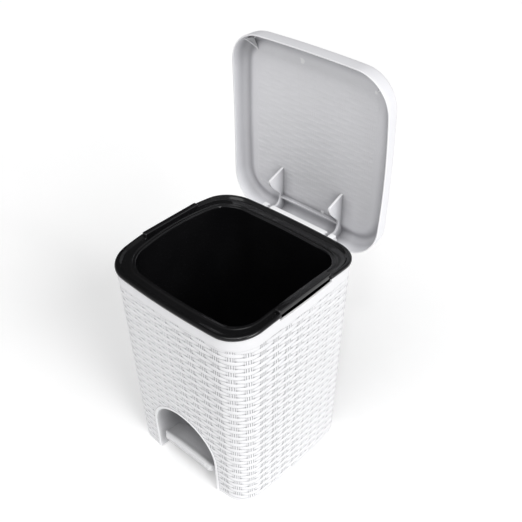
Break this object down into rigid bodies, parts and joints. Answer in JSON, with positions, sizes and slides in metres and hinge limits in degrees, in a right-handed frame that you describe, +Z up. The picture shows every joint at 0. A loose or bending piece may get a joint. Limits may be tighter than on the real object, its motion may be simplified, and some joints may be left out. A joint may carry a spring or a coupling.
{
  "type": "pedal trash can",
  "caption": "Square woven-pattern plastic pedal trash can with a lift-out black bucket, an arched toe niche and a lid on gooseneck arms raised by a push rod.",
  "frame": {"origin": "on the floor, under the middle of the bounding box with the lid open", "axes": "+Z up, +Y to the rear (hinge side), +X to the right seen from the front; the lid stands open at rest"},
  "size_m": [0.2442, 0.2731, 0.5348],
  "materials": {
    "white_body": "satin moulded polypropylene with a woven relief",
    "white_lid": "satin moulded polypropylene",
    "white_pedal": "satin moulded polypropylene",
    "white_base": "plain moulded plastic",
    "black_bucket": "semi-gloss moulded polypropylene",
    "grey_plastic": "plain moulded plastic",
    "steel": "zinc-plated",
    "rubber": "matt"
  },
  "bodies": {
    "body": {"outer_body": "white_body", "base_plate": "white_base", "rod_guide_upper": "grey_plastic", "rod_guide_lower": "grey_plastic", "pedal_axle": "steel", "axle_clip_left": "steel", "axle_clip_right": "steel", "hinge_pin_left": "steel", "hinge_pin_right": "steel", "foot_front_left": "rubber", "foot_front_right": "rubber", "foot_rear_left": "rubber", "foot_rear_right": "rubber", "base_screw_front_left": "steel", "base_screw_front_right": "steel", "base_screw_rear_left": "steel", "base_screw_rear_right": "steel"},
    "lid": {"lid": "white_lid"},
    "bucket": {"inner_bucket": "black_bucket"},
    "pedal": {"foot_pedal": "white_pedal"},
    "lift_rod": {"push_rod": "steel", "rod_collar": "grey_plastic", "lift_yoke": "grey_plastic"}
  },
  "joints": [
    {"name": "lid_hinge", "type": "hinge", "parent": "body", "child": "lid", "pos_m": [0, 0.10362, 0.292], "axis": [1, 0, 0], "range_deg": [0, 90]},
    {"name": "rod_slide", "type": "slide", "parent": "body", "child": "lift_rod", "axis": [0, 0, 1], "range_m": [-0.0107, 0]},
    {"name": "pedal_pivot", "type": "hinge", "parent": "body", "child": "pedal", "pos_m": [0, -0.01137, 0.022], "axis": [1, 0, 0], "range_deg": [-6.6, 0]},
    {"name": "bucket_lift", "type": "slide", "parent": "body", "child": "bucket", "axis": [0, 0, 1], "range_m": [0, 0.0015]}
  ],
  "couplings": [
    {"joint": "rod_slide", "follows": "lid_hinge", "m_per_rad": -0.0067482},
    {"joint": "pedal_pivot", "follows": "lid_hinge", "ratio": -0.07272}
  ]
}
